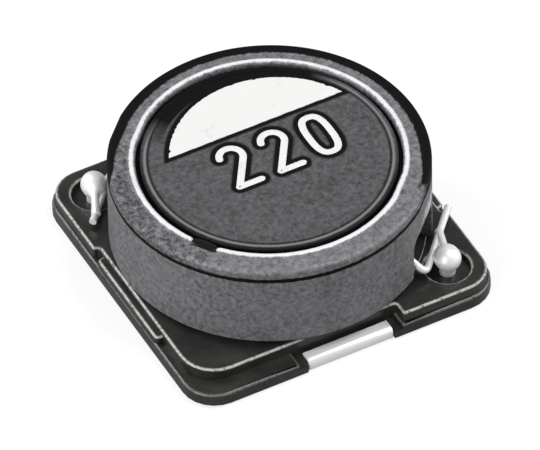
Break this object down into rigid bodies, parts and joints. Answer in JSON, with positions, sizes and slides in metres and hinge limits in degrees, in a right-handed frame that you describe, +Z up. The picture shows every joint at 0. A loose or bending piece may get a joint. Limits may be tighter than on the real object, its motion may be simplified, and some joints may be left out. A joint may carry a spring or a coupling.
{
  "type": "shielded surface-mount power inductor",
  "caption": "Low round ferrite-shielded power inductor on a square moulded base, with wrap-round side terminals and soldered corner hooks.",
  "frame": {"origin": "middle of the plane that the two solder pads stand on", "axes": "+Z up through the round top face, -Y towards terminal A's side, +X towards that terminal's hook corner"},
  "size_m": [0.0126, 0.0126, 0.0048],
  "materials": {
    "base_plastic": "black glass-filled moulding resin, fine matte",
    "tinned_strip": "matte tin plating on copper alloy strip",
    "core_ferrite": "dark sintered ferrite, ground, slightly mottled",
    "base_epoxy": "cured epoxy adhesive",
    "enamelled_copper": "enamelled copper wire, tinned where it leaves the ring",
    "solder": "bright solder",
    "ring_ferrite": "grey sintered ferrite, speckled, with a polished bead round the mouth",
    "gap_epoxy": "dark cured epoxy",
    "white_ink": "white printing ink"
  },
  "bodies": {
    "root": {"base": "base_plastic", "terminal_a": "tinned_strip", "terminal_b": "tinned_strip", "drum_core": "core_ferrite", "base_adhesive": "base_epoxy", "winding": "enamelled_copper", "solder_joint_a": "solder", "solder_joint_b": "solder", "shield_ring": "ring_ferrite", "gap_adhesive": "gap_epoxy", "start_mark": "white_ink"}
  },
  "joints": []
}
